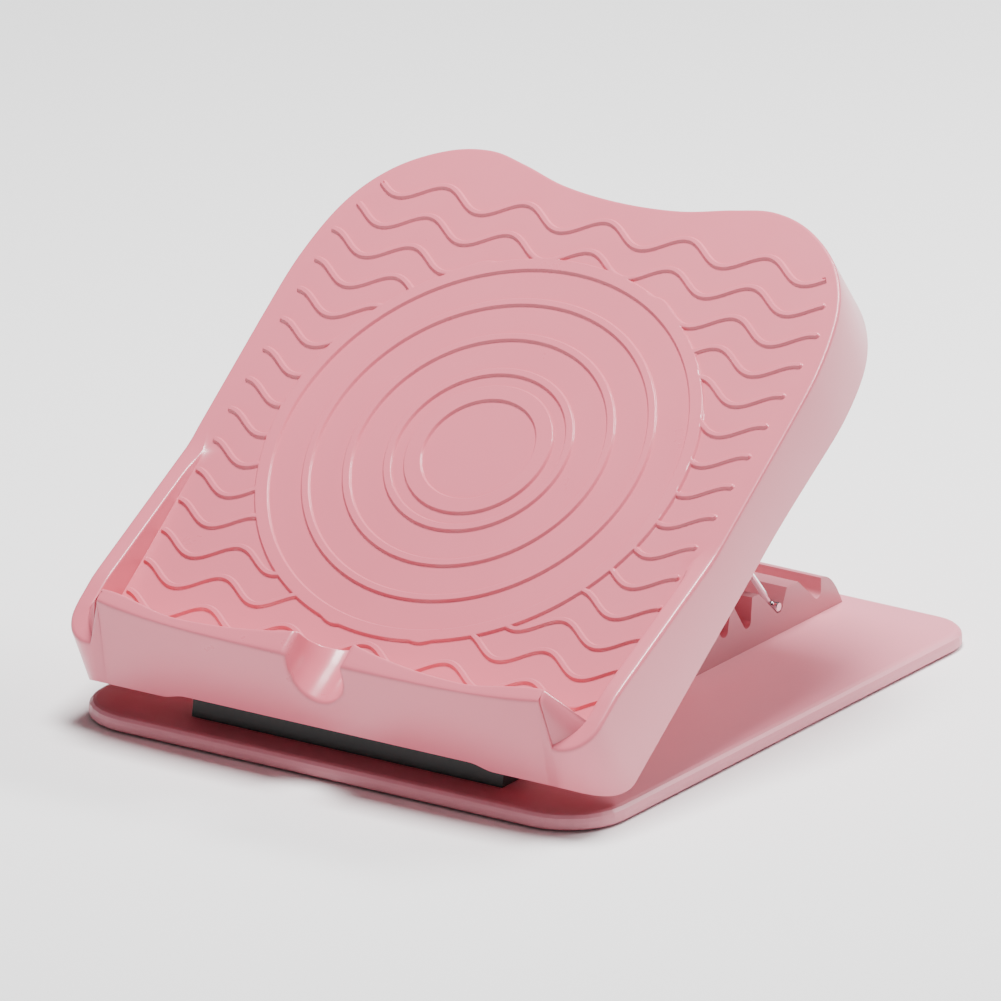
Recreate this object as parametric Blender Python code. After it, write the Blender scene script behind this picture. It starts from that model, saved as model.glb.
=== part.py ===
"""Folding slant board: a hinged foot plate held up by a wire stand that drops into the notches of two racks.

Lengths below are in millimetres and become metres when a mesh is made. The frame has +Z up, +Y from the heel
lip to the toe end, and its origin on the floor at the centre of the board. The foot plate is drawn in its own
coordinates: u across, s up the slope, h square to the tread, all counted from the centre of the rings.
"""

import math

import bmesh
import bpy
from mathutils import Matrix, Vector

MM = 0.001
GAP = 0.3

TILT = math.radians(36.7)
RING_CENTRE = Vector((0, -30.6, 118.2))
HINGE_Y, HINGE_Z = -125.6, 20.5

PLATE_HALF_WIDTH = 139.0
RIM_WIDTH = 8.5
RIM_START, RIM_SLOPE, RIM_HEIGHT = -28.0, 0.157, 13.3
PANEL_THICKNESS = 3.0
WALL = 2.8
EDGE_ROUND, INNER_ROUND = 2.2, 1.0
TOE_OUTLINE = ((0, 140), (30, 142.2), (55, 148.6), (75, 152), (96, 147), (117, 132.3), (131, 110),
               (137.8, 78), (139, 40))
SIDE_STATIONS = (15, -10, -28, -55, -80, -100, -113, -121, -126)
RIM_FOOT = 1.6
TOE_STEPS = 3

LIP_TOP, LIP_HALF_WIDTH = 32.0, 117.0
LIP_FRONT, LIP_LEAN = -141.5, 0.3154
LIP_END_SET_BACK = 5.7
LIP_INNER_LEAN, LIP_FOOT_REACH, LIP_FOOT_END = 0.31, 9.5, -118.0
HEEL_DEEPEST_U, HEEL_DEEPEST_S = 75.0, -135.4
FRONT_BOTTOM, FRONT_BOTTOM_RAISED, RAISED_HALF_WIDTH = -7.0, -4.5, 81.4
CORNER_START, CORNER_HALF_WIDTH = -128.0, 122.0
CORNER_POWER = 2.3
CORNER_STEPS, RAMP_STEPS, LIP_STEPS = 6, 3, 9
NOTCH_HALF_WIDTH, NOTCH_EDGE, NOTCH_DEPTH, NOTCH_STEPS = 14.2, 2.6, 22.0, 7
NOTCH_INNER_DROP = 0.1
SKIRT_SIDE, SKIRT_TOE_EXTRA, SKIRT_TOE_REACH = -31.5, 7.5, 130.0

LIP_CUT, SKIRT_CUT, BEYOND = -117.0, -4.5, 200.0

EAR_RADIUS, EAR_INNER, EAR_OUTER = 7.0, 82.6, 92.6
PIN_RADIUS, PIN_HALF_LENGTH = 2.5, 96.5
CAP_RADIUS, CAP_THICKNESS = 5.5, 1.5
BLOCK_HALF_LENGTH, BLOCK_HALF_DEPTH, BARREL_RADIUS = 82.0, 9.0, 7.0

BASE_HALF_WIDTH, BASE_FRONT, BASE_BACK = 138.7, -152.9, 163.1
BASE_BOTTOM, BASE_TOP = 1.0, 8.0
BASE_FRONT_RADIUS, BASE_BACK_RADIUS, BASE_EDGE = 30.0, 21.0, 3.5
POCKET_HALF, POCKET_X, POCKET_TOP = 42.0, 50.0, 4.6
POCKET_ROWS = ((-109, -40), (-27, 30), (54, 100))
FOOT_RADIUS, FOOT_HEIGHT, FOOT_X, FOOT_ROWS = 9.0, 2.7, 112.0, (-122.0, 6.0, 134.0)

RACK_INNER, RACK_OUTER = 30.0, 72.5
RACK_BACK, RACK_FRONT = 152.3, 27.0
RACK_WALL_TOP, RACK_WALL_THICKNESS = 24.5, 0.8
NOTCH_ROUND, RACK_BACK_STEPS = 3.0, 6
# each notch: its bottom (y, z), then the land in front of it (rear y, front y, z)
RACK_NOTCHES = (((131.8, 15.7), (116.0, 107.0, 28.2)), ((100.8, 17.9), (84.4, 79.0, 31.6)),
                ((75.1, 18.1), (64.6, 61.5, 31.0)), ((56.7, 19.2), (46.5, 36.0, 30.0)))

WIRE_RADIUS, LEG_X, WIRE_BEND = 1.5, 68.5, 9.0
PIVOT_S, PIVOT_H = 35.6, -12.0
CROSSBAR_RADIUS, CROSSBAR_HALF_LENGTH = 2.25, 72.4
CROSSBAR_Y, CROSSBAR_Z = 100.95, 20.65

CLIP_X, CLIP_HALF_WIDTH, CLIP_HALF_LENGTH, CLIP_FLANGE = 48.0, 8.0, 19.0, 3.0
BOSS_BOTTOM = -7.0
RIB_BOTTOM, RIB_THICKNESS = -9.3, 2.4
RIBS_ALONG = (20.0, 100.0)
RIBS_ACROSS, CROSS_RIB_REACH = (-85.0, -25.0, 85.0), 132.0

SCREW_RADIUS, SCREW_HEAD_RADIUS, SCREW_HEAD_HEIGHT = 1.6, 3.4, 2.0
SCREW_CLEARANCE = 0.35
RACK_SCREW_X, RACK_SCREW_ROWS, RACK_SCREW_TIP = 51.0, (("front", 41.0), ("rear", 111.5)), 20.0
BLOCK_SCREW_X, BLOCK_SCREW_TIP = 60.0, 15.5
CLIP_SCREW_OFFSET, CLIP_SCREW_TIP = 13.5, -3.4

PINK = (0.72, 0.37, 0.41, 1)
PINK_BASE = (0.70, 0.36, 0.40, 1)
CHROME = (0.8, 0.8, 0.82, 1)
STEEL = (0.6, 0.6, 0.62, 1)
RUBBER = (0.06, 0.05, 0.05, 1)
BLACK = (0.03, 0.03, 0.03, 1)


def clear_scene():
    for item in list(bpy.data.objects):
        bpy.data.objects.remove(item)


def material(name, colour, roughness, metallic=0.0):
    made = bpy.data.materials.new(name)
    made.use_nodes = True
    shader = made.node_tree.nodes["Principled BSDF"]
    shader.inputs["Base Color"].default_value = colour
    shader.inputs["Roughness"].default_value = roughness
    shader.inputs["Metallic"].default_value = metallic
    return made


def smoothstep(x):
    x = min(max(x, 0.0), 1.0)
    return x * x * (3 - 2 * x)


def plate_to_world(u, s, h):
    y = s * math.cos(TILT) - h * math.sin(TILT)
    z = s * math.sin(TILT) + h * math.cos(TILT)
    return RING_CENTRE + Vector((u, y, z))


def add_object(name, mesh_builder, parent, finish):
    """Makes an object from a bmesh in millimetres of the world frame; its origin is its parent's."""
    base = parent.matrix_world.translation if parent else Vector((0, 0, 0))
    bmesh.ops.transform(mesh_builder, matrix=Matrix.Scale(MM, 4), verts=mesh_builder.verts)
    bmesh.ops.translate(mesh_builder, vec=-base, verts=mesh_builder.verts)
    bmesh.ops.recalc_face_normals(mesh_builder, faces=mesh_builder.faces)
    mesh = bpy.data.meshes.new(name)
    mesh_builder.to_mesh(mesh)
    mesh_builder.free()
    made = bpy.data.objects.new(name, mesh)
    bpy.context.scene.collection.objects.link(made)
    if parent:
        made.parent = parent
    if finish:
        mesh.materials.append(finish)
        mesh.shade_smooth()
        mesh.set_sharp_from_angle(angle=math.radians(35))
    return made


def add_pivot(name, centre, parent=None):
    """An empty on a joint's axis."""
    pivot = bpy.data.objects.new(name, None)
    bpy.context.scene.collection.objects.link(pivot)
    pivot.parent = parent
    offset = parent.matrix_world.translation if parent else Vector((0, 0, 0))
    pivot.location = centre * MM - offset
    bpy.context.view_layer.update()
    return pivot


def combine(target, tool_name, tool_bmesh, operation, parent=None):
    """Joins a shape to the target or cuts it away, with a hidden tool object."""
    tool = add_object(tool_name, tool_bmesh, parent, None)
    tool.hide_render = True
    tool.display_type = "WIRE"
    modifier = target.modifiers.new(tool_name, "BOOLEAN")
    modifier.operation = operation
    modifier.solver = "EXACT"
    modifier.object = tool


def box_mesh(low, high, place=None):
    """A box between two corners, with each corner passed through place when it is given."""
    made = bmesh.new()
    bmesh.ops.create_cube(made, size=1)
    for vert in made.verts:
        spot = [low[i] + (vert.co[i] + 0.5) * (high[i] - low[i]) for i in range(3)]
        vert.co = place(*spot) if place else Vector(spot)
    return made


def extruded_mesh(profile, start, end, place):
    """A prism: the profile's pairs at two stations along u or x, each point given by place(station, a, b)."""
    made = bmesh.new()
    ends = [[made.verts.new(place(x, a, b)) for a, b in profile] for x in (start, end)]
    made.faces.new(ends[0])
    made.faces.new(reversed(ends[1]))
    for i in range(len(profile)):
        j = (i + 1) % len(profile)
        made.faces.new((ends[0][i], ends[1][i], ends[1][j], ends[0][j]))
    return made


def turned_mesh(profile, axis_point, axis, sides):
    """A solid of revolution; the profile is (radius, distance) pairs that start and end on the axis."""
    made = bmesh.new()
    axis = axis.normalized()
    across = axis.orthogonal().normalized()
    beside = axis.cross(across)
    rings = []
    for radius, distance in profile:
        centre = axis_point + axis * distance
        if radius == 0:
            rings.append([made.verts.new(centre)])
            continue
        angles = [2 * math.pi * k / sides for k in range(sides)]
        rings.append([made.verts.new(centre + radius * (math.cos(a) * across + math.sin(a) * beside))
                      for a in angles])
    for first, second in zip(rings, rings[1:]):
        for k in range(sides):
            m = (k + 1) % sides
            corners = {first[k % len(first)]: 0, first[m % len(first)]: 0,
                       second[m % len(second)]: 0, second[k % len(second)]: 0}
            made.faces.new(list(corners))
    return made


def rod_mesh(radius, axis_point, axis, start, end, sides=20):
    return turned_mesh(((0, start), (radius, start), (radius, end), (0, end)), axis_point, axis, sides)


def smooth_curve(points, before, after, steps):
    """A curve through the points (Catmull-Rom), with the neighbours before and after them."""
    chain = [Vector(p) for p in (before, *points, after)]
    curve = []
    for p0, p1, p2, p3 in zip(chain, chain[1:], chain[2:], chain[3:]):
        for k in range(steps):
            t = k / steps
            curve.append(0.5 * (2 * p1 + (p2 - p0) * t + (2 * p0 - 5 * p1 + 4 * p2 - p3) * t * t
                                + (3 * p1 - p0 - 3 * p2 + p3) * t ** 3))
    curve.append(chain[-2])
    return curve


def skirt_bottom(s):
    return SKIRT_SIDE - SKIRT_TOE_EXTRA * smoothstep(s / SKIRT_TOE_REACH)


def rim_height(s):
    return min(max(RIM_SLOPE * (RIM_START - s), 0.0), RIM_HEIGHT)


def lip_front_edge(u):
    return LIP_FRONT + LIP_END_SET_BACK * (u / LIP_HALF_WIDTH) ** 4


def lip_inner_edge(u):
    """Two shallow heel arcs, one on each side of the notch."""
    if u < HEEL_DEEPEST_U:
        return HEEL_DEEPEST_S + 7.4 * ((HEEL_DEEPEST_U - u) / 60.5) ** 2
    return HEEL_DEEPEST_S + 6.2 * smoothstep((u - HEEL_DEEPEST_U) / 40)


def front_bottom(u):
    rise = smoothstep((RAISED_HALF_WIDTH + 6 - abs(u)) / 12)
    h = FRONT_BOTTOM + (FRONT_BOTTOM_RAISED - FRONT_BOTTOM) * rise
    return Vector((u, LIP_FRONT - LIP_LEAN * (LIP_TOP - h), h))


def front_face(u, h):
    """The s of the leaning front face, whose top edge is set back towards the lip's ends."""
    bottom = front_bottom(u)
    share = (h - bottom.z) / (LIP_TOP - bottom.z)
    return bottom.y + (lip_front_edge(u) - bottom.y) * share


def station(bottom, edge, band, ridge, inner, foot, outer_way=None, inner_way=None):
    """One section of the plate's wall. The ways lead from the edge and the inner edge to the faces below."""
    return {"bottom": bottom, "edge": edge, "band": band, "ridge": ridge, "inner": inner, "foot": foot,
            "outer_way": outer_way or (bottom - edge), "inner_way": inner_way or (foot - inner)}


def foot_line(s):
    """Near the lip the foot of the rim's inner face keeps clear of the lip's sloping inner wall."""
    return s if s > LIP_FOOT_END else LIP_FOOT_END + 0.3 * (s - LIP_FOOT_END)


def rim_station(u, s, inward, band_share=0.4, ridge_share=0.6):
    edge = Vector((u, s, rim_height(s)))
    bottom = Vector((u, s, skirt_bottom(s)))
    inner = edge + inward * RIM_WIDTH
    foot = Vector((inner.x, foot_line(inner.y), 0)) + inward * RIM_FOOT
    inner_way = Vector((0, 0, -1)) if edge.z > 1.5 else inward
    return station(bottom, edge, edge.lerp(inner, band_share), edge.lerp(inner, ridge_share), inner, foot,
                   inner_way=inner_way)


def toe_and_side_stations():
    outline = smooth_curve(TOE_OUTLINE, (-30, 142.2), (139, 0), TOE_STEPS)
    outline += [Vector((PLATE_HALF_WIDTH, s)) for s in SIDE_STATIONS]
    found = []
    for i, point in enumerate(outline):
        ahead = outline[min(i + 1, len(outline) - 1)]
        behind = outline[i - 1] if i else Vector((-ahead.x, ahead.y))
        along = (ahead - behind).normalized()
        found.append(rim_station(point.x, point.y, Vector((along.y, -along.x, 0))))
    found.append(rim_station(PLATE_HALF_WIDTH, CORNER_START - 1.2, Vector((-1, 0, 0)), 0.9, 0.95))
    return found


def corner_stations():
    """Round the front corner: the low rim turns in under the end of the lip, which rises as a ramp."""
    reach_u = PLATE_HALF_WIDTH - CORNER_HALF_WIDTH
    found = []
    for k in range(CORNER_STEPS + 1):
        angle = math.radians(6 + 84 * k / CORNER_STEPS)
        c, d = math.cos(angle), math.sin(angle)
        side, front = c ** (2 / CORNER_POWER), d ** (2 / CORNER_POWER)
        edge = Vector((CORNER_HALF_WIDTH + reach_u * side, CORNER_START - 18.8 * front, RIM_HEIGHT - 0.8 * d))
        bottom = Vector((CORNER_HALF_WIDTH + reach_u * c, CORNER_START - 25.8 * d,
                         SKIRT_SIDE + (FRONT_BOTTOM - SKIRT_SIDE) * d * d))
        share = k / CORNER_STEPS
        band = Vector((130.6 - 9.4 * share ** 1.6, -130.0 - 14.4 * share, edge.z))
        ridge = Vector((116.6 + 0.8 * share, -130.4 - 5.4 * share, LIP_TOP))
        inner = Vector((116.2 - 0.5 * share, -129.4 - 0.2 * share, LIP_TOP))
        foot = Vector((119.0 - 1.8 * share, -120.8 + 0.6 * share, 0))
        found.append(station(bottom, edge, band, ridge, inner, foot))
    return found


def lip_station(u, h, normal_u, normal_h, spread_u):
    """A section across the lip at (u, h) of its top outline, whose outward normal is given."""
    h_inner = h - NOTCH_INNER_DROP * (LIP_TOP - h)
    edge = Vector((u, front_face(u, h), h))
    inner = Vector((u, lip_inner_edge(u) + LIP_INNER_LEAN * (LIP_TOP - h), h_inner))
    beside = (u - normal_u * EDGE_ROUND, h - normal_h * EDGE_ROUND)
    outer_way = Vector((beside[0], front_face(*beside), beside[1])) - edge
    inner_way = Vector((-normal_u, 0, -normal_h))
    foot = Vector((spread_u, lip_inner_edge(spread_u) + LIP_FOOT_REACH, 0))
    return station(front_bottom(spread_u), edge, edge.lerp(inner, 0.4), edge.lerp(inner, 0.6), inner, foot,
                   outer_way, inner_way)


def lip_stations():
    """The lip's top from its end to the notch, then down the notch's side to its lowest line."""
    start = NOTCH_HALF_WIDTH + NOTCH_EDGE
    found = []
    for k in range(LIP_STEPS):
        u = LIP_HALF_WIDTH - 0.6 + (start + 1.5 - LIP_HALF_WIDTH + 0.6) * k / (LIP_STEPS - 1)
        found.append((u, LIP_TOP, 0, 1))
    for k in range(4):
        angle = math.radians(30 * k)
        found.append((start - NOTCH_EDGE * math.sin(angle), LIP_TOP - NOTCH_EDGE * (1 - math.cos(angle)),
                      -math.sin(angle), math.cos(angle)))
    centre_h = LIP_TOP - NOTCH_DEPTH + NOTCH_HALF_WIDTH
    for k in range(NOTCH_STEPS):
        angle = math.radians(90 * k / (NOTCH_STEPS - 1))
        found.append((NOTCH_HALF_WIDTH * math.cos(angle), centre_h - NOTCH_HALF_WIDTH * math.sin(angle),
                      -math.cos(angle), math.sin(angle)))
    spread_from = LIP_STEPS - 1
    spread_step = (start + 1.5) / (len(found) - 1 - spread_from)
    stations = []
    for i, (u, h, normal_u, normal_h) in enumerate(found):
        spread_u = u if i < spread_from else (start + 1.5) - spread_step * (i - spread_from)
        stations.append(lip_station(max(u, 0.0), h, normal_u, normal_h, max(spread_u, 0.0)))
    return stations


def between(first, second, steps):
    """Stations evenly spaced between two stations, without the two themselves."""
    return [{key: first[key].lerp(second[key], k / (steps + 1)) for key in first}
            for k in range(1, steps + 1)]


def chamfer(corner, way_in, way_out, size):
    """The two points that cut a corner; each stays within half of the way to the next point."""
    cut_in = way_in.normalized() * min(size, 0.45 * way_in.length) if way_in.length else way_in
    cut_out = way_out.normalized() * min(size, 0.45 * way_out.length) if way_out.length else way_out
    return [corner + cut_in, corner + cut_out]


def section_points(place, inward):
    """The points of one section, from the ceiling under the tread, out, over the rim and in to the tread."""
    bottom, edge, inner = place["bottom"], place["edge"], place["inner"]
    share = (-PANEL_THICKNESS - bottom.z) / (edge.z - bottom.z)
    ceiling = bottom.lerp(edge, share) + inward * WALL
    ceiling.z = -PANEL_THICKNESS
    outer = place["outer_way"].normalized() * EDGE_ROUND * 2.3
    inner_way = place["inner_way"].normalized() * INNER_ROUND * 2.3
    points = [ceiling, bottom + inward * WALL, bottom]
    points += chamfer(edge, outer, place["band"] - edge, EDGE_ROUND)
    points += [place["band"], place["ridge"]]
    points += chamfer(inner, place["ridge"] - inner, inner_way, INNER_ROUND)
    points.append(place["foot"])
    return points


def mirrored(place):
    return {key: Vector((-value.x, value.y, value.z)) for key, value in place.items()}


def plate_mesh():
    corner, lip = corner_stations(), lip_stations()
    right = toe_and_side_stations() + corner + between(corner[-1], lip[0], RAMP_STEPS) + lip
    loop = right + [mirrored(place) for place in reversed(right[1:-1])]
    made = bmesh.new()
    rows = []
    for i, place in enumerate(loop):
        along = loop[(i + 1) % len(loop)]["bottom"] - loop[i - 1]["bottom"]
        inward = Vector((along.y, -along.x, 0)).normalized()
        rows.append([made.verts.new(plate_to_world(*p)) for p in section_points(place, inward)])
    for i, row in enumerate(rows):
        after = rows[(i + 1) % len(rows)]
        for j in range(len(row) - 1):
            made.faces.new((row[j], after[j], after[j + 1], row[j + 1]))
    made.faces.new([row[0] for row in reversed(rows)])
    made.faces.new([row[-1] for row in rows])
    return made


def round_end(centre_a, centre_b, radius, start_degrees, end_degrees, steps):
    angles = [math.radians(start_degrees + (end_degrees - start_degrees) * k / steps) for k in range(steps + 1)]
    return [(centre_a + radius * math.cos(a), centre_b + radius * math.sin(a)) for a in angles]


def add_plate_part(name, low, high, parent, finish):
    """One part of the moulded plate: all of it that lies between two corners in plate coordinates."""
    made = add_object(name, plate_mesh(), parent, finish)
    combine(made, f"{name}_bounds", box_mesh(low, high, plate_to_world), "INTERSECT", parent)
    return made


def add_plate(parent, finish):
    """The moulding as three solids: the tread panel, the skirt below its rim, and the heel lip with the ears."""
    panel = add_plate_part("foot_plate", (-BEYOND, LIP_CUT, SKIRT_CUT), (BEYOND, BEYOND, BEYOND), parent, finish)
    add_plate_part("plate_skirt", (-BEYOND, LIP_CUT, -BEYOND), (BEYOND, BEYOND, SKIRT_CUT - GAP), parent, finish)
    lip = add_plate_part("heel_lip", (-BEYOND, -BEYOND, -BEYOND), (BEYOND, LIP_CUT - GAP, BEYOND), parent, finish)
    hinge_s = (HINGE_Y - RING_CENTRE.y) * math.cos(TILT) + (HINGE_Z - RING_CENTRE.z) * math.sin(TILT)
    hinge_h = -(HINGE_Y - RING_CENTRE.y) * math.sin(TILT) + (HINGE_Z - RING_CENTRE.z) * math.cos(TILT)
    ear = round_end(hinge_s, hinge_h, EAR_RADIUS, 180, 360, 10)
    ear += [(hinge_s + EAR_RADIUS + 4, -PANEL_THICKNESS + 1), (hinge_s - EAR_RADIUS, -PANEL_THICKNESS + 1)]
    hinge_centre = Vector((0, HINGE_Y, HINGE_Z))
    for side, name in ((-1, "left"), (1, "right")):
        start, end = sorted((side * EAR_INNER, side * EAR_OUTER))
        combine(lip, f"ear_{name}", extruded_mesh(ear, start, end, plate_to_world), "UNION", parent)
        boss = box_mesh((side * CLIP_X - CLIP_HALF_WIDTH - 1, PIVOT_S - CLIP_HALF_LENGTH - 1, BOSS_BOTTOM),
                        (side * CLIP_X + CLIP_HALF_WIDTH + 1, PIVOT_S + CLIP_HALF_LENGTH + 1, -2),
                        plate_to_world)
        combine(panel, f"boss_{name}", boss, "UNION", parent)
        for u in RIBS_ALONG:
            low = (side * u - RIB_THICKNESS / 2, LIP_CUT + 1, RIB_BOTTOM)
            high = (side * u + RIB_THICKNESS / 2, 128, -2.2)
            combine(panel, f"rib_along_{name}_{u:.0f}", box_mesh(low, high, plate_to_world), "UNION", parent)
        for end_name, offset in (("front", -CLIP_SCREW_OFFSET), ("rear", CLIP_SCREW_OFFSET)):
            spot = plate_to_world(side * CLIP_X, PIVOT_S + offset, BOSS_BOTTOM)
            hole = rod_mesh(SCREW_RADIUS + SCREW_CLEARANCE, spot, plate_normal(), -2,
                            CLIP_SCREW_TIP + GAP - BOSS_BOTTOM, 12)
            combine(panel, f"clip_hole_{name}_{end_name}", hole, "DIFFERENCE", parent)
    for s in RIBS_ACROSS:
        low = (-CROSS_RIB_REACH, s - RIB_THICKNESS / 2, RIB_BOTTOM + 1.5)
        high = (CROSS_RIB_REACH, s + RIB_THICKNESS / 2, -2.4)
        combine(panel, f"rib_across_{s:.0f}", box_mesh(low, high, plate_to_world), "UNION", parent)
    bore = rod_mesh(PIN_RADIUS + GAP, hinge_centre, Vector((1, 0, 0)), -EAR_OUTER - 5, EAR_OUTER + 5)
    combine(lip, "ear_bore", bore, "DIFFERENCE", parent)


def plate_normal():
    return Vector((0, -math.sin(TILT), math.cos(TILT)))


def rounded_rectangle(inset, steps):
    """The base board's outline, moved in by the inset, as (x, y) pairs."""
    half, front, back = BASE_HALF_WIDTH - inset, BASE_FRONT + inset, BASE_BACK - inset
    near, far = BASE_FRONT_RADIUS - inset, BASE_BACK_RADIUS - inset
    outline = round_end(half - far, back - far, far, 0, 90, steps)
    outline += round_end(-half + far, back - far, far, 90, 180, steps)
    outline += round_end(-half + near, front + near, near, 180, 270, steps)
    return outline + round_end(half - near, front + near, near, 270, 360, steps)


def add_base(finish):
    made = bmesh.new()
    levels = [(0.8, BASE_BOTTOM), (0, BASE_BOTTOM + 0.8), (0, BASE_TOP - BASE_EDGE)]
    for degrees in (30, 60, 90):
        turn = math.radians(degrees)
        levels.append((BASE_EDGE * (1 - math.cos(turn)), BASE_TOP - BASE_EDGE * (1 - math.sin(turn))))
    rows = [[made.verts.new((x, y, z)) for x, y in rounded_rectangle(inset, 7)] for inset, z in levels]
    for low, high in zip(rows, rows[1:]):
        for i in range(len(low)):
            j = (i + 1) % len(low)
            made.faces.new((low[i], low[j], high[j], high[i]))
    made.faces.new(reversed(rows[0]))
    made.faces.new(rows[-1])
    base = add_object("base_board", made, None, finish)
    for side, name in ((-1, "left"), (1, "right")):
        for row, (front, back) in enumerate(POCKET_ROWS):
            low = (side * POCKET_X - POCKET_HALF, front, BASE_BOTTOM - 1)
            high = (side * POCKET_X + POCKET_HALF, back, POCKET_TOP)
            combine(base, f"pocket_{name}_{row}", box_mesh(low, high), "DIFFERENCE")
        for row, y in enumerate(FOOT_ROWS):
            recess = rod_mesh(FOOT_RADIUS + GAP, Vector((side * FOOT_X, y, 0)), Vector((0, 0, 1)), -1,
                              FOOT_HEIGHT + GAP)
            combine(base, f"foot_recess_{name}_{row}", recess, "DIFFERENCE")
    for name, x, y, tip in screw_places():
        combine(base, f"base_hole_{name}", screw_hole(x, y, tip), "DIFFERENCE")


def screw_places():
    """Name, x, y and tip height of each screw driven up through the base."""
    found = []
    for side, name in ((-1, "left"), (1, "right")):
        for row, y in RACK_SCREW_ROWS:
            found.append((f"rack_screw_{name}_{row}", side * RACK_SCREW_X, y, RACK_SCREW_TIP))
        found.append((f"hinge_screw_{name}", side * BLOCK_SCREW_X, HINGE_Y, BLOCK_SCREW_TIP))
    return found


def screw_profile(length, grow=0.0):
    """A pan-head screw: the head below 0, the shank up to its length; grow makes it the hole around it."""
    head, shank = SCREW_HEAD_RADIUS + grow, SCREW_RADIUS + grow
    return ((0, -SCREW_HEAD_HEIGHT), (head - 0.6, -SCREW_HEAD_HEIGHT), (head, -SCREW_HEAD_HEIGHT + 0.7),
            (head, grow), (shank, grow), (shank, length - 0.8 + grow), (shank * 0.5, length + grow),
            (0, length + grow))


def screw_seat():
    return BASE_BOTTOM + SCREW_HEAD_HEIGHT + 0.6


def screw_hole(x, y, tip):
    seat = screw_seat() + SCREW_CLEARANCE
    head, shank = SCREW_HEAD_RADIUS + SCREW_CLEARANCE, SCREW_RADIUS + SCREW_CLEARANCE
    profile = ((0, -1), (head, -1), (head, seat), (shank, seat), (shank, tip + GAP), (0, tip + GAP))
    return turned_mesh(profile, Vector((x, y, 0)), Vector((0, 0, 1)), 16)


def add_screws(finish):
    for name, x, y, tip in screw_places():
        seat = Vector((x, y, screw_seat()))
        made = turned_mesh(screw_profile(tip - screw_seat()), seat, Vector((0, 0, 1)), 14)
        add_object(name, made, None, finish)


def add_rubber_feet(finish):
    profile = ((0, 0), (FOOT_RADIUS - 1, 0), (FOOT_RADIUS, 0.7), (FOOT_RADIUS, FOOT_HEIGHT), (0, FOOT_HEIGHT))
    for side, name in ((-1, "left"), (1, "right")):
        for y, row in zip(FOOT_ROWS, ("front", "middle", "rear")):
            made = turned_mesh(profile, Vector((side * FOOT_X, y, 0)), Vector((0, 0, 1)), 20)
            add_object(f"rubber_foot_{name}_{row}", made, None, finish)


def rack_profile():
    """The rack's (y, z) outline from its back foot forwards over the notches and back along the base."""
    floor_z = BASE_TOP + GAP
    wall_front = RACK_NOTCHES[0][0][0] + NOTCH_ROUND
    wall_back = wall_front + RACK_WALL_THICKNESS
    outline = []
    for k in range(RACK_BACK_STEPS + 1):
        share = 1 - k / RACK_BACK_STEPS
        outline.append((wall_back + (RACK_BACK - wall_back) * share,
                        RACK_WALL_TOP - (RACK_WALL_TOP - floor_z) * share ** 2))
    outline.append((wall_front, RACK_WALL_TOP))
    for (bottom_y, bottom_z), (land_rear, land_front, land_z) in RACK_NOTCHES:
        outline += round_end(bottom_y, bottom_z + NOTCH_ROUND, NOTCH_ROUND, 0, -135, 5)
        outline += [(land_rear, land_z), (land_front, land_z)]
    outline.append((RACK_FRONT, floor_z))
    return outline


def add_racks(finish):
    for side, name in ((-1, "left"), (1, "right")):
        start, end = sorted((side * RACK_INNER, side * RACK_OUTER))
        rack = add_object(f"tooth_rack_{name}", extruded_mesh(rack_profile(), start, end, world_point), None, finish)
        for row, y in RACK_SCREW_ROWS:
            combine(rack, f"rack_hole_{name}_{row}", screw_hole(side * RACK_SCREW_X, y, RACK_SCREW_TIP),
                    "DIFFERENCE")


def world_point(x, y, z):
    return Vector((x, y, z))


def add_hinge_block(finish):
    outline = round_end(HINGE_Y, HINGE_Z, BARREL_RADIUS, 0, 180, 10)
    foot = BASE_TOP + GAP
    outline += [(HINGE_Y - BLOCK_HALF_DEPTH, foot), (HINGE_Y + BLOCK_HALF_DEPTH, foot)]
    block = add_object("hinge_block",
                       extruded_mesh(outline, -BLOCK_HALF_LENGTH, BLOCK_HALF_LENGTH, world_point), None, finish)
    bore = rod_mesh(PIN_RADIUS + GAP, Vector((0, HINGE_Y, HINGE_Z)), Vector((1, 0, 0)),
                    -BLOCK_HALF_LENGTH - 5, BLOCK_HALF_LENGTH + 5)
    combine(block, "block_bore", bore, "DIFFERENCE")
    for side, name in ((-1, "left"), (1, "right")):
        combine(block, f"block_hole_{name}", screw_hole(side * BLOCK_SCREW_X, HINGE_Y, BLOCK_SCREW_TIP),
                "DIFFERENCE")


def add_hinge_pin(finish):
    centre, axis = Vector((0, HINGE_Y, HINGE_Z)), Vector((1, 0, 0))
    profile = ((0, -PIN_HALF_LENGTH), (PIN_RADIUS - 0.5, -PIN_HALF_LENGTH),
               (PIN_RADIUS, -PIN_HALF_LENGTH + 0.6), (PIN_RADIUS, PIN_HALF_LENGTH - 0.6),
               (PIN_RADIUS - 0.5, PIN_HALF_LENGTH), (0, PIN_HALF_LENGTH))
    add_object("hinge_pin", turned_mesh(profile, centre, axis, 20), None, finish)
    for side, name in ((-1, "left"), (1, "right")):
        near = side * (EAR_OUTER + GAP + 0.1)
        start, end = sorted((near, near + side * CAP_THICKNESS))
        cap = add_object(f"pin_cap_{name}", rod_mesh(CAP_RADIUS, centre, axis, start, end), None, finish)
        hole = rod_mesh(PIN_RADIUS + GAP, centre, axis, start - 2, end + 2)
        combine(cap, f"cap_hole_{name}", hole, "DIFFERENCE")


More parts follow.
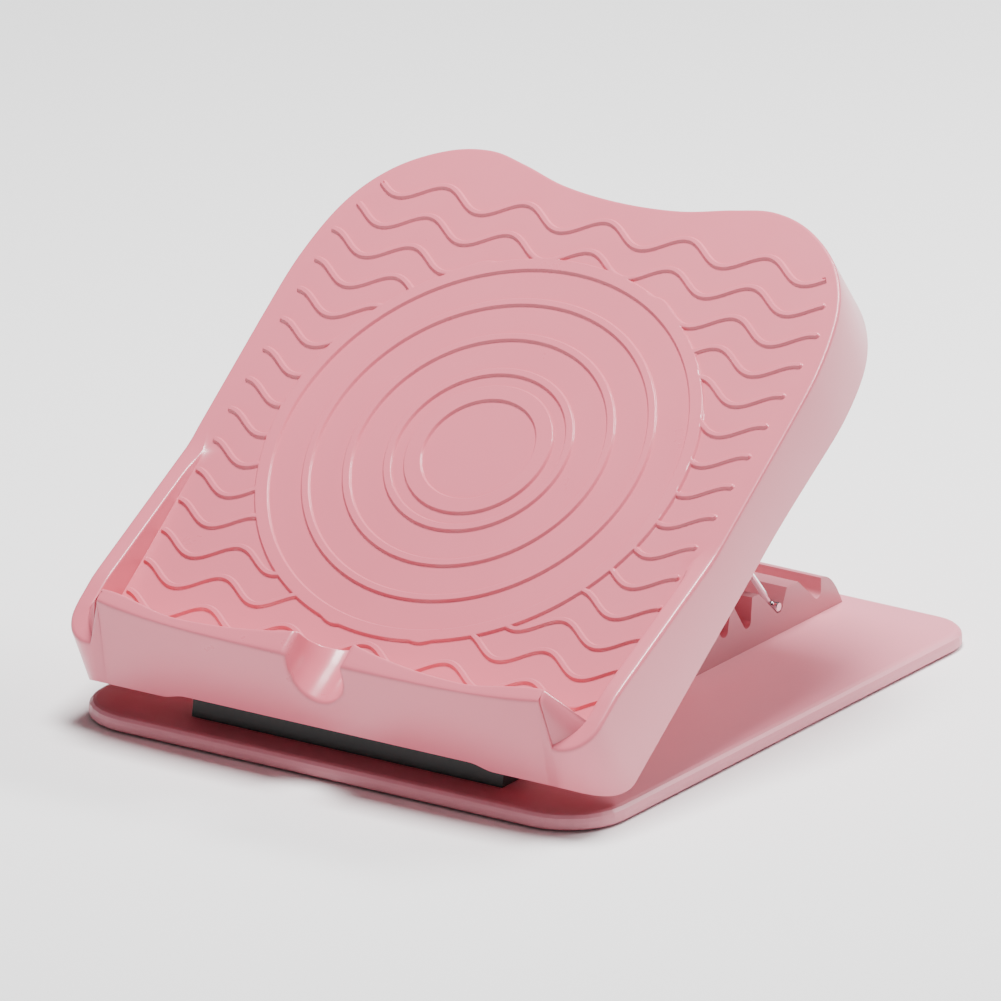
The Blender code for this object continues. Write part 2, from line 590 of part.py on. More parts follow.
def wire_path(pivot):
    """Up the left leg, round a bend, across as the axle, round a bend and down the right leg."""
    foot = Vector((LEG_X, CROSSBAR_Y, CROSSBAR_Z))
    top = Vector((LEG_X, pivot.y, pivot.z))
    leg = (top - foot).normalized()
    path = [foot + leg * (CROSSBAR_RADIUS + GAP + 0.05)]
    centre = top - leg * WIRE_BEND - Vector((WIRE_BEND, 0, 0))
    for k in range(7):
        turn = math.radians(15 * k)
        path.append(centre + WIRE_BEND * (math.cos(turn) * Vector((1, 0, 0)) + math.sin(turn) * leg))
    return path + [Vector((-p.x, p.y, p.z)) for p in reversed(path)]


def add_stand(parent, pivot, finish):
    curve = bpy.data.curves.new("stand_wire", "CURVE")
    curve.dimensions = "3D"
    spline = curve.splines.new("POLY")
    path = wire_path(pivot)
    spline.points.add(len(path) - 1)
    origin = parent.matrix_world.translation
    for point, spot in zip(spline.points, path):
        point.co = (*(spot * MM - origin), 1)
    curve.bevel_depth = WIRE_RADIUS * MM
    curve.bevel_resolution = 3
    curve.use_fill_caps = True
    curve.materials.append(finish)
    wire = bpy.data.objects.new("stand_wire", curve)
    bpy.context.scene.collection.objects.link(wire)
    wire.parent = parent
    profile = ((0, -CROSSBAR_HALF_LENGTH), (CROSSBAR_RADIUS - 0.4, -CROSSBAR_HALF_LENGTH),
               (CROSSBAR_RADIUS, -CROSSBAR_HALF_LENGTH + 0.4), (CROSSBAR_RADIUS, CROSSBAR_HALF_LENGTH - 0.4),
               (CROSSBAR_RADIUS - 0.4, CROSSBAR_HALF_LENGTH), (0, CROSSBAR_HALF_LENGTH))
    made = turned_mesh(profile, Vector((0, CROSSBAR_Y, CROSSBAR_Z)), Vector((1, 0, 0)), 20)
    add_object("stand_crossbar", made, parent, finish)


def add_clips(parent, finish, screw_finish):
    """Saddle clips that hold the stand's axle under the plate, each with two screws."""
    top, flange = BOSS_BOTTOM - GAP, BOSS_BOTTOM - GAP - CLIP_FLANGE
    outline = [(PIVOT_S - CLIP_HALF_LENGTH, top), (PIVOT_S - CLIP_HALF_LENGTH, flange),
               (PIVOT_S - 6.5, flange)]
    outline += round_end(PIVOT_S, PIVOT_H, 5, 180, 360, 8)
    outline += [(PIVOT_S + 6.5, flange), (PIVOT_S + CLIP_HALF_LENGTH, flange), (PIVOT_S + CLIP_HALF_LENGTH, top)]
    pivot = plate_to_world(0, PIVOT_S, PIVOT_H)
    for side, name in ((-1, "left"), (1, "right")):
        start, end = side * CLIP_X - CLIP_HALF_WIDTH, side * CLIP_X + CLIP_HALF_WIDTH
        clip = add_object(f"stand_clip_{name}", extruded_mesh(outline, start, end, plate_to_world), parent, finish)
        bore = rod_mesh(WIRE_RADIUS + GAP, pivot, Vector((1, 0, 0)), start - 3, end + 3)
        combine(clip, f"clip_bore_{name}", bore, "DIFFERENCE", parent)
        for row, offset in (("front", -CLIP_SCREW_OFFSET), ("rear", CLIP_SCREW_OFFSET)):
            seat = plate_to_world(side * CLIP_X, PIVOT_S + offset, flange - GAP)
            length = CLIP_SCREW_TIP - flange + GAP
            hole = rod_mesh(SCREW_RADIUS + SCREW_CLEARANCE, seat, plate_normal(), -2, length, 12)
            combine(clip, f"clip_screw_hole_{name}_{row}", hole, "DIFFERENCE", parent)
            made = turned_mesh(screw_profile(length), seat, plate_normal(), 14)
            add_object(f"clip_screw_{name}_{row}", made, parent, screw_finish)


def build():
    clear_scene()
    chrome = material("chrome", CHROME, 0.12, 1.0)
    steel = material("steel", STEEL, 0.35, 1.0)
    moulded = material("moulded_pink", PINK_BASE, 0.45)
    pivot = plate_to_world(0, PIVOT_S, PIVOT_H)
    plate_axis = add_pivot("plate_axis", Vector((0, HINGE_Y, HINGE_Z)))
    stand_axis = add_pivot("stand_axis", pivot, plate_axis)
    add_base(material("base_pink", PINK_BASE, 0.5))
    add_rubber_feet(material("rubber", RUBBER, 0.9))
    add_racks(moulded)
    add_hinge_block(material("hinge_black", BLACK, 0.5))
    add_screws(steel)
    add_hinge_pin(steel)
    add_plate(plate_axis, material("plate_pink", PINK, 0.4))
    add_clips(plate_axis, moulded, steel)
    add_stand(stand_axis, pivot, chrome)


build()
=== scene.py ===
"""Looks of the folding slant board: fine moulded shells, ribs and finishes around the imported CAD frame.

Lengths are in millimetres and become metres when a mesh is made. The foot plate is drawn in its own
coordinates: u across, s up the slope, h square to the tread, all counted from the centre of the rings.
"""

import math

import bmesh
import bpy
import numpy as np
from mathutils import Matrix, Vector
from mathutils.geometry import delaunay_2d_cdt


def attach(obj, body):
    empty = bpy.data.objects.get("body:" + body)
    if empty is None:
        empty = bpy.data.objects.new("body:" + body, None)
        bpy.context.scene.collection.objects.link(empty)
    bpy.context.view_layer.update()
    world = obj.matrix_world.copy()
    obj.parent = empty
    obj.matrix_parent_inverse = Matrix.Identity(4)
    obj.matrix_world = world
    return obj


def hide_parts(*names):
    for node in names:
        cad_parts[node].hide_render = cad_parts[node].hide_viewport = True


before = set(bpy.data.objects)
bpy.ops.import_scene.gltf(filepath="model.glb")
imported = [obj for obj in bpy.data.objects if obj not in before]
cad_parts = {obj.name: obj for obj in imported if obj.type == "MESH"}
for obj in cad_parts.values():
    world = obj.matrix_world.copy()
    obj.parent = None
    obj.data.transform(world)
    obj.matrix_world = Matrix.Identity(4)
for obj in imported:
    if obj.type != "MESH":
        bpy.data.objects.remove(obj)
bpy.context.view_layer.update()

MM = 0.001

TILT = math.radians(36.7)
RING_CENTRE = Vector((0, -30.6, 118.2))

PLATE_HALF_WIDTH = 139.0
RIM_WIDTH, OPEN_EDGE_WIDTH = 8.5, 4.0
RIM_START, RIM_SLOPE, RIM_HEIGHT = -28.0, 0.157, 13.3
RIM_FOOT, RIM_BLEND = 1.6, 6
PANEL_THICKNESS, WALL = 3.0, 2.8
EDGE_ROUND, INNER_ROUND, RIDGE_ROUND = 2.2, 1.0, 2.0
ROUND_STEPS, RIDGE_STEPS, INNER_STEPS = 5, 3, 4
BOTTOM_ROUND, BOTTOM_STEPS = 0.7, 3
# how many times its size a round may look ahead along the face below it
WAY_REACH = 2.3
TOE_OUTLINE = ((0, 140), (30, 142.2), (55, 148.6), (75, 152), (96, 147), (117, 132.3), (131, 110),
               (137.8, 78), (139, 40))
TOE_STEPS = 14
SIDE_STEP = 6.0

LIP_TOP, LIP_HALF_WIDTH = 32.0, 117.0
LIP_FRONT, LIP_LEAN, LIP_END_SET_BACK = -141.5, 0.3154, 5.7
LIP_INNER_LEAN, LIP_FOOT_REACH, LIP_FOOT_END = 0.31, 9.5, -118.0
HEEL_DEEPEST_U, HEEL_DEEPEST_S = 75.0, -135.4
HEEL_ARC_RISE, HEEL_ARC_REACH, HEEL_END_RISE, HEEL_END_REACH = 7.4, 60.5, 6.2, 40
FRONT_BOTTOM, FRONT_BOTTOM_RAISED, RAISED_HALF_WIDTH, RAISED_BLEND = -7.0, -4.5, 81.4, 6
CORNER_START, CORNER_HALF_WIDTH, CORNER_POWER = -128.0, 122.0, 2.3
CORNER_STEPS, RAMP_STEPS, LIP_STEPS = 24, 8, 48
CORNER_FIRST_DEGREES, CORNER_DROP = 6, 0.8
CORNER_EDGE_REACH, CORNER_BOTTOM_REACH, CORNER_BAND_POWER = 18.8, 25.8, 1.6
# lines round the corner: (u, s) at the side rim, then how far each moves on the way to the lip
CORNER_BAND = ((130.6, -130.0), (-9.4, -14.4))
CORNER_RIDGE = ((116.6, -130.4), (0.8, -5.4))
CORNER_INNER = ((116.2, -129.4), (-0.5, -0.2))
CORNER_FOOT = ((119.0, -120.8), (-1.8, 0.6))
NOTCH_HALF_WIDTH, NOTCH_EDGE, NOTCH_STEPS, NOTCH_DEPTH = 14.2, 2.6, 22, 22.0
NOTCH_INNER_DROP = 0.1
NOTCH_EDGE_STEPS, NOTCH_SIDE_STEPS = 8, 5
LIP_END_GAP, NOTCH_EDGE_GAP, NOTCH_SIDE_GAP = 0.6, 0.8, 0.05
SKIRT_SIDE, SKIRT_TOE_EXTRA, SKIRT_TOE_REACH = -31.5, 7.5, 130.0

RINGS = ((26.8, 34.8), (40.7, 44.4), (59.8, 63.5), (79.0, 82.6), (98.2, 104.4))
RING_SIDES = 288
RELIEF_HEIGHT, RELIEF_FLARE, RELIEF_OUT = 1.3, 1.0, 0.55
RELIEF_STEPS = (-0.85, -0.55, -0.3, -0.05, 0.2, 0.45)
WAVE_ROWS, WAVE_TOP, WAVE_PITCH = 15, 123.4, 16.94
WAVE_AMPLITUDE, WAVE_LENGTH, WAVE_HALF_WIDTH = 5.0, 42.67, 1.25
WAVE_ENDS = {0: 117.5, 1: 122.5}
WAVE_END_OPEN, WAVE_END_RIM, FIRST_RIM_ROW = 127.5, 126.4, 9
WAVE_STEP, WAVE_CAP_STEPS = 1.4, 6
LIP_CLEARANCE, LIP_FADE, SHORTEST_RUN = 0.6, 1.5, 5
WAVE_SEARCH, WAVE_SEARCH_STEP, FAR_AWAY = 5.0, 0.2, 1e9
RAMP_EDGE_LEAN = 1.3
MEETING_INSET, MEETING_GUARD, MEETING_SLACK = 1.2, 0.25, 0.02


def smoothstep(x):
    x = min(max(x, 0.0), 1.0)
    return x * x * (3 - 2 * x)


def plate_to_world(u, s, h):
    y = s * math.cos(TILT) - h * math.sin(TILT)
    z = s * math.sin(TILT) + h * math.cos(TILT)
    return RING_CENTRE + Vector((u, y, z))


# ---- materials ----

def node(tree, kind, **inputs):
    made = tree.nodes.new(kind)
    for name, value in inputs.items():
        made.inputs[name.replace("_", " ")].default_value = value
    return made


def new_material(name):
    made = bpy.data.materials.new(name)
    made.use_nodes = True
    tree = made.node_tree
    return made, tree, tree.nodes["Principled BSDF"]


def ramp_between(tree, source, low, high):
    """Maps a 0 to 1 value onto the range low to high."""
    mapped = tree.nodes.new("ShaderNodeMapRange")
    mapped.inputs["To Min"].default_value = low
    mapped.inputs["To Max"].default_value = high
    tree.links.new(source, mapped.inputs["Value"])
    return mapped.outputs["Result"]


def moulded_plastic(name, colour, roughness, grain_scale, grain_depth, specular=0.5, coat=0.0):
    """Moulded plastic: faint cloudy colour, fine spark-eroded grain, roughness that drifts with handling."""
    made, tree, shader = new_material(name)
    place = tree.nodes.new("ShaderNodeTexCoord").outputs["Object"]
    cloud = node(tree, "ShaderNodeTexNoise", Scale=9.0, Detail=3.0, Roughness=0.5)
    grain = node(tree, "ShaderNodeTexNoise", Scale=grain_scale, Detail=2.0, Roughness=0.6)
    wear = node(tree, "ShaderNodeTexNoise", Scale=34.0, Detail=5.0, Roughness=0.65)
    for texture in (cloud, grain, wear):
        tree.links.new(place, texture.inputs["Vector"])
    mix = tree.nodes.new("ShaderNodeMix")
    mix.data_type = "RGBA"
    mix.inputs["A"].default_value = (*[c * 0.965 for c in colour], 1)
    mix.inputs["B"].default_value = (*[min(c * 1.035, 1) for c in colour], 1)
    tree.links.new(cloud.outputs["Fac"], mix.inputs["Factor"])
    tree.links.new(mix.outputs["Result"], shader.inputs["Base Color"])
    tree.links.new(ramp_between(tree, wear.outputs["Fac"], roughness - 0.07, roughness + 0.07),
                   shader.inputs["Roughness"])
    bump = node(tree, "ShaderNodeBump", Strength=1.0, Distance=grain_depth)
    tree.links.new(grain.outputs["Fac"], bump.inputs["Height"])
    tree.links.new(bump.outputs["Normal"], shader.inputs["Normal"])
    shader.inputs["Specular IOR Level"].default_value = specular
    shader.inputs["Coat Weight"].default_value = coat
    shader.inputs["Coat Roughness"].default_value = 0.12
    return made


def drawn_metal(name, colour, roughness, scratch_scale, scratch_depth):
    """Metal with fine lengthwise draw marks and a little dulling."""
    made, tree, shader = new_material(name)
    place = tree.nodes.new("ShaderNodeTexCoord").outputs["Object"]
    stretch = tree.nodes.new("ShaderNodeMapping")
    stretch.inputs["Scale"].default_value = (1, 18, 18)
    tree.links.new(place, stretch.inputs["Vector"])
    marks = node(tree, "ShaderNodeTexNoise", Scale=scratch_scale, Detail=4.0, Roughness=0.6)
    tree.links.new(stretch.outputs["Vector"], marks.inputs["Vector"])
    dull = node(tree, "ShaderNodeTexNoise", Scale=60.0, Detail=3.0, Roughness=0.5)
    tree.links.new(place, dull.inputs["Vector"])
    tree.links.new(ramp_between(tree, dull.outputs["Fac"], roughness * 0.7, roughness * 1.5),
                   shader.inputs["Roughness"])
    bump = node(tree, "ShaderNodeBump", Strength=1.0, Distance=scratch_depth)
    tree.links.new(marks.outputs["Fac"], bump.inputs["Height"])
    tree.links.new(bump.outputs["Normal"], shader.inputs["Normal"])
    shader.inputs["Base Color"].default_value = (*colour, 1)
    shader.inputs["Metallic"].default_value = 1.0
    return made


def moulded_rubber(name):
    made, tree, shader = new_material(name)
    place = tree.nodes.new("ShaderNodeTexCoord").outputs["Object"]
    pores = node(tree, "ShaderNodeTexNoise", Scale=900.0, Detail=4.0, Roughness=0.7)
    dust = node(tree, "ShaderNodeTexNoise", Scale=45.0, Detail=4.0, Roughness=0.6)
    for texture in (pores, dust):
        tree.links.new(place, texture.inputs["Vector"])
    bump = node(tree, "ShaderNodeBump", Strength=1.0, Distance=0.00012)
    tree.links.new(pores.outputs["Fac"], bump.inputs["Height"])
    tree.links.new(bump.outputs["Normal"], shader.inputs["Normal"])
    tree.links.new(ramp_between(tree, dust.outputs["Fac"], 0.72, 0.95), shader.inputs["Roughness"])
    shader.inputs["Base Color"].default_value = (0.035, 0.03, 0.03, 1)
    return made


# ---- meshes ----

def finish_object(name, builder, material, smooth_degrees=35):
    """Makes an object from a bmesh whose vertices are in millimetres of the shared frame."""
    bmesh.ops.transform(builder, matrix=Matrix.Scale(MM, 4), verts=builder.verts)
    bmesh.ops.recalc_face_normals(builder, faces=builder.faces)
    mesh = bpy.data.meshes.new(name)
    builder.to_mesh(mesh)
    builder.free()
    mesh.materials.append(material)
    mesh.shade_smooth()
    mesh.set_sharp_from_angle(angle=math.radians(smooth_degrees))
    made = bpy.data.objects.new(name, mesh)
    bpy.context.scene.collection.objects.link(made)
    return made


def smooth_curve(points, before, after, steps):
    """A curve through the points (Catmull-Rom), with the neighbours before and after them."""
    chain = [Vector(p) for p in (before, *points, after)]
    curve = []
    for p0, p1, p2, p3 in zip(chain, chain[1:], chain[2:], chain[3:]):
        for k in range(steps):
            t = k / steps
            curve.append(0.5 * (2 * p1 + (p2 - p0) * t + (2 * p0 - 5 * p1 + 4 * p2 - p3) * t * t
                                + (3 * p1 - p0 - 3 * p2 + p3) * t ** 3))
    curve.append(chain[-2])
    return curve


def skirt_bottom(s):
    return SKIRT_SIDE - SKIRT_TOE_EXTRA * smoothstep(s / SKIRT_TOE_REACH)


def rim_height(s):
    return min(max(RIM_SLOPE * (RIM_START - s), 0.0), RIM_HEIGHT)


def rim_width(s):
    """The raised rim is wide; above it the smooth border is narrow, so that the wave ribs reach out to it."""
    return OPEN_EDGE_WIDTH + (RIM_WIDTH - OPEN_EDGE_WIDTH) * smoothstep((RIM_START + RIM_BLEND - s) / RIM_BLEND)


def lip_front_edge(u):
    return LIP_FRONT + LIP_END_SET_BACK * (u / LIP_HALF_WIDTH) ** 4


def lip_inner_edge(u):
    """Two shallow heel arcs, one on each side of the notch."""
    if u < HEEL_DEEPEST_U:
        return HEEL_DEEPEST_S + HEEL_ARC_RISE * ((HEEL_DEEPEST_U - u) / HEEL_ARC_REACH) ** 2
    return HEEL_DEEPEST_S + HEEL_END_RISE * smoothstep((u - HEEL_DEEPEST_U) / HEEL_END_REACH)


def front_bottom(u):
    rise = smoothstep((RAISED_HALF_WIDTH + RAISED_BLEND - abs(u)) / (2 * RAISED_BLEND))
    h = FRONT_BOTTOM + (FRONT_BOTTOM_RAISED - FRONT_BOTTOM) * rise
    return Vector((u, LIP_FRONT - LIP_LEAN * (LIP_TOP - h), h))


def front_face(u, h):
    """The s of the leaning front face, whose top edge is set back towards the lip's ends."""
    bottom = front_bottom(u)
    share = (h - bottom.z) / (LIP_TOP - bottom.z)
    return bottom.y + (lip_front_edge(u) - bottom.y) * share


def station(bottom, edge, band, ridge, inner, foot, outer_way=None, inner_way=None):
    """One section of the plate's wall. The ways lead from the edge and the inner edge to the faces below."""
    return {"bottom": bottom, "edge": edge, "band": band, "ridge": ridge, "inner": inner, "foot": foot,
            "outer_way": outer_way or (bottom - edge), "inner_way": inner_way or (foot - inner)}


def foot_line(s):
    """Near the lip the foot of the rim's inner face keeps clear of the lip's sloping inner wall."""
    return s if s > LIP_FOOT_END else LIP_FOOT_END + 0.3 * (s - LIP_FOOT_END)


def rim_station(u, s, inward, band_share=0.4, ridge_share=0.6):
    edge = Vector((u, s, rim_height(s)))
    bottom = Vector((u, s, skirt_bottom(s)))
    inner = edge + inward * rim_width(s)
    foot = Vector((inner.x, foot_line(inner.y), 0)) + inward * RIM_FOOT
    inner_way = Vector((0, 0, -1)) if edge.z > 1.5 else inward
    return station(bottom, edge, edge.lerp(inner, band_share), edge.lerp(inner, ridge_share), inner, foot,
                   inner_way=inner_way)


def toe_and_side_stations():
    outline = smooth_curve(TOE_OUTLINE, (-30, 142.2), (139, 0), TOE_STEPS)
    last = TOE_OUTLINE[-1][1]
    count = round((last - CORNER_START - 2) / SIDE_STEP)
    outline += [Vector((PLATE_HALF_WIDTH, last + (CORNER_START + 2 - last) * k / count))
                for k in range(1, count + 1)]
    found = []
    for i, point in enumerate(outline):
        ahead = outline[min(i + 1, len(outline) - 1)]
        behind = outline[i - 1] if i else Vector((-ahead.x, ahead.y))
        along = (ahead - behind).normalized()
        found.append(rim_station(point.x, point.y, Vector((along.y, -along.x, 0))))
    found.append(rim_station(PLATE_HALF_WIDTH, CORNER_START - 1.2, Vector((-1, 0, 0)), 0.9, 0.95))
    return found


def moved(line, share, power=1):
    """A corner line's (u, s) at a share of its move; the power bends its way across."""
    (u, s), (move_u, move_s) = line
    return u + move_u * share ** power, s + move_s * share


def corner_stations():
    """Round the front corner: the low rim turns in under the end of the lip, which rises as a ramp."""
    reach_u = PLATE_HALF_WIDTH - CORNER_HALF_WIDTH
    found = []
    for k in range(CORNER_STEPS + 1):
        angle = math.radians(CORNER_FIRST_DEGREES + (90 - CORNER_FIRST_DEGREES) * k / CORNER_STEPS)
        c, d = math.cos(angle), math.sin(angle)
        side, front = c ** (2 / CORNER_POWER), d ** (2 / CORNER_POWER)
        edge = Vector((CORNER_HALF_WIDTH + reach_u * side, CORNER_START - CORNER_EDGE_REACH * front,
                       RIM_HEIGHT - CORNER_DROP * d))
        bottom = Vector((CORNER_HALF_WIDTH + reach_u * c, CORNER_START - CORNER_BOTTOM_REACH * d,
                         SKIRT_SIDE + (FRONT_BOTTOM - SKIRT_SIDE) * d * d))
        share = k / CORNER_STEPS
        band = Vector((*moved(CORNER_BAND, share, CORNER_BAND_POWER), edge.z))
        ridge = Vector((*moved(CORNER_RIDGE, share), LIP_TOP))
        inner = Vector((*moved(CORNER_INNER, share), LIP_TOP))
        foot = Vector((*moved(CORNER_FOOT, share), 0))
        found.append(station(bottom, edge, band, ridge, inner, foot))
    return found


def lip_station(u, h, normal_u, normal_h, spread_u):
    """A section across the lip at (u, h) of its top outline, whose outward normal is given."""
    h_inner = h - NOTCH_INNER_DROP * (LIP_TOP - h)
    edge = Vector((u, front_face(u, h), h))
    inner = Vector((u, lip_inner_edge(u) + LIP_INNER_LEAN * (LIP_TOP - h), h_inner))
    beside = (u - normal_u * EDGE_ROUND, h - normal_h * EDGE_ROUND)
    outer_way = Vector((beside[0], front_face(*beside), beside[1])) - edge
    inner_way = Vector((-normal_u, 0, -normal_h))
    foot = Vector((spread_u, lip_inner_edge(spread_u) + LIP_FOOT_REACH, 0))
    return station(front_bottom(spread_u), edge, edge.lerp(inner, 0.4), edge.lerp(inner, 0.6), inner, foot,
                   outer_way, inner_way)


def lip_stations():
    """The lip's top from its end to the notch, then down the notch's side to its lowest line."""
    start = NOTCH_HALF_WIDTH + NOTCH_EDGE
    found = []
    for k in range(LIP_STEPS):
        across = start + NOTCH_EDGE_GAP - LIP_HALF_WIDTH + LIP_END_GAP
        u = LIP_HALF_WIDTH - LIP_END_GAP + across * k / (LIP_STEPS - 1)
        found.append((u, LIP_TOP, 0, 1))
    for k in range(NOTCH_EDGE_STEPS):
        angle = math.radians(90 * k / NOTCH_EDGE_STEPS)
        found.append((start - NOTCH_EDGE * math.sin(angle), LIP_TOP - NOTCH_EDGE * (1 - math.cos(angle)),
                      -math.sin(angle), math.cos(angle)))
    centre_h = LIP_TOP - NOTCH_DEPTH + NOTCH_HALF_WIDTH
    side_top = LIP_TOP - NOTCH_EDGE
    for k in range(NOTCH_SIDE_STEPS):
        found.append((NOTCH_HALF_WIDTH, side_top - (side_top - centre_h) * k / NOTCH_SIDE_STEPS, -1, 0))
    for k in range(NOTCH_STEPS):
        angle = math.radians(90 * k / (NOTCH_STEPS - 1))
        found.append((NOTCH_HALF_WIDTH * math.cos(angle), centre_h - NOTCH_HALF_WIDTH * math.sin(angle),
                      -math.cos(angle), math.sin(angle)))
    reach = NOTCH_HALF_WIDTH + EDGE_ROUND
    notch_start = len(found) - NOTCH_STEPS
    last_u = found[LIP_STEPS - 1][0]
    stations = []
    for i, (u, h, normal_u, normal_h) in enumerate(found):
        below = u
        if i >= notch_start:
            below = reach * -normal_u
        elif i >= LIP_STEPS:
            below = last_u + (reach + NOTCH_SIDE_GAP - last_u) * (i - LIP_STEPS + 1) / (notch_start - LIP_STEPS)
        stations.append(lip_station(max(u, 0.0), h, normal_u, normal_h, max(below, 0.0)))
    return stations


def ramp_stations(corner, lip):
    """The lip's end ramp, whose front edge is rounded across its own slope."""
    found = between(corner, lip, RAMP_STEPS)
    for k, place in enumerate(found, 1):
        lean = math.sin(math.pi * k / (RAMP_STEPS + 1)) * RAMP_EDGE_LEAN
        place["outer_way"] = place["outer_way"].normalized() + Vector((-lean, 0, 0))
    return found


def between(first, second, steps):
    """Stations evenly spaced between two stations, without the two themselves."""
    return [{key: first[key].lerp(second[key], k / (steps + 1)) for key in first}
            for k in range(1, steps + 1)]


def rounded(corner, way_in, way_out, size, steps=ROUND_STEPS):
    """Points of a round over a corner; it starts and ends within half of the way to the next point."""
    start = corner + (way_in.normalized() * min(size, 0.45 * way_in.length) if way_in.length else way_in)
    end = corner + (way_out.normalized() * min(size, 0.45 * way_out.length) if way_out.length else way_out)
    points = []
    for k in range(steps + 1):
        t = k / steps
        points.append(start * (1 - t) ** 2 + corner * 2 * t * (1 - t) + end * t * t)
    return points


def section_points(place, inward):
    """The points of one section, from the ceiling under the tread, out, over the rim and in to the tread."""
    bottom, edge, inner = place["bottom"], place["edge"], place["inner"]
    share = (-PANEL_THICKNESS - bottom.z) / (edge.z - bottom.z)
    ceiling = bottom.lerp(edge, share) + inward * WALL
    ceiling.z = -PANEL_THICKNESS
    outer = place["outer_way"].normalized() * EDGE_ROUND * WAY_REACH
    inner_way = place["inner_way"].normalized() * INNER_ROUND * WAY_REACH
    inside = bottom + inward * WALL
    points = [ceiling, inside]
    points += rounded(bottom, inside - bottom, edge - bottom, BOTTOM_ROUND, BOTTOM_STEPS)
    points += rounded(edge, outer, place["band"] - edge, EDGE_ROUND)
    points.append(place["band"])
    points += rounded(place["ridge"], place["band"] - place["ridge"], inner - place["ridge"], RIDGE_ROUND,
                      RIDGE_STEPS)
    points += rounded(inner, place["ridge"] - inner, inner_way, INNER_ROUND, INNER_STEPS)
    points.append(place["foot"])
    return points


def mirrored(place):
    return {key: Vector((-value.x, value.y, value.z)) for key, value in place.items()}


def relief(distance):
    """Height of a rib or ring at a signed distance inside its edge, as an array."""
    x = np.clip((np.asarray(distance, float) + RELIEF_OUT) / RELIEF_FLARE, 0, 1)
    return RELIEF_HEIGHT * x * x * (3 - 2 * x)


def wave_line(row, u):
    return WAVE_TOP - WAVE_PITCH * row + WAVE_AMPLITUDE * np.cos(2 * np.pi * u / WAVE_LENGTH)


def wave_end(row):
    return WAVE_ENDS.get(row, WAVE_END_OPEN if row < FIRST_RIM_ROW else WAVE_END_RIM)


def lip_foot(u):
    return np.array([lip_inner_edge(abs(a)) for a in np.atleast_1d(u)]) + LIP_FOOT_REACH


def tread_height(u, s):
    """Height of the relief at points of the tread: the outermost ring and the wave ribs around it."""
    inner, outer = RINGS[-1]
    radius = np.hypot(u, s)
    height = relief(np.minimum(outer - radius, radius - inner))
    row = np.clip(np.round((WAVE_TOP - s) / WAVE_PITCH), 0, WAVE_ROWS - 1).astype(int)
    ends = np.array([wave_end(r) for r in range(WAVE_ROWS)])[row]
    nearest = np.full(len(u), FAR_AWAY)
    for shift in np.arange(-WAVE_SEARCH, WAVE_SEARCH + 0.01, WAVE_SEARCH_STEP):
        there = np.clip(u + shift, -ends, ends)
        nearest = np.minimum(nearest, np.hypot(there - u, wave_line(row, there) - s))
    clear_of_lip = np.clip((s - lip_foot(u) - LIP_CLEARANCE) / LIP_FADE, 0, 1)
    return np.maximum(height, relief(WAVE_HALF_WIDTH - nearest) * clear_of_lip)


def wave_contours(row):
    """Lines at each relief step on both sides of a wave rib and round its ends."""
    end = wave_end(row)
    u = np.linspace(-end, end, int(2 * end / WAVE_STEP) + 1)
    slope = -WAVE_AMPLITUDE * 2 * np.pi / WAVE_LENGTH * np.sin(2 * np.pi * u / WAVE_LENGTH)
    normal = np.stack([-slope, np.ones_like(u)], 1) / np.hypot(1, slope)[:, None]
    line = np.stack([u, wave_line(row, u)], 1)
    contours = [line]
    turns = np.linspace(0, np.pi, WAVE_CAP_STEPS + 2)[1:-1]
    for step in RELIEF_STEPS:
        reach = WAVE_HALF_WIDTH - step
        upper, lower = line + normal * reach, line - normal * reach
        caps = []
        for at, sign in ((-1, 1), (0, -1)):
            along = np.array([normal[at][1], -normal[at][0]]) * sign
            start = normal[at] * sign
            caps.append(np.array([line[at] + reach * (np.cos(t) * start + np.sin(t) * along) for t in turns]))
        contours.append(np.concatenate([upper, caps[0], lower[::-1], caps[1], upper[:1]]))
    return contours


def outside_ring(contour, limit):
    """The runs of a contour that lie outside a radius and clear of the lip."""
    keep = np.hypot(contour[:, 0], contour[:, 1]) > limit
    keep &= contour[:, 1] > lip_foot(contour[:, 0]) + LIP_CLEARANCE
    runs, run = [], []
    for point, kept in zip(contour, keep):
        if kept:
            run.append(point)
        elif run:
            runs.append(run)
            run = []
    runs.append(run)
    return [r for r in runs if len(r) >= SHORTEST_RUN]


def inside_polygon(points, polygon):
    inside = np.zeros(len(points), bool)
    x, y = points[:, 0], points[:, 1]
    for (x1, y1), (x2, y2) in zip(polygon, np.roll(polygon, -1, 0)):
        crosses = (y1 > y) != (y2 > y)
        if y1 != y2:
            inside ^= crosses & (x < x1 + (y - y1) * (x2 - x1) / (y2 - y1))
    return inside


def circle(radius):
    angles = np.arange(RING_SIDES) * 2 * np.pi / RING_SIDES
    return np.stack([radius * np.cos(angles), radius * np.sin(angles)], 1)


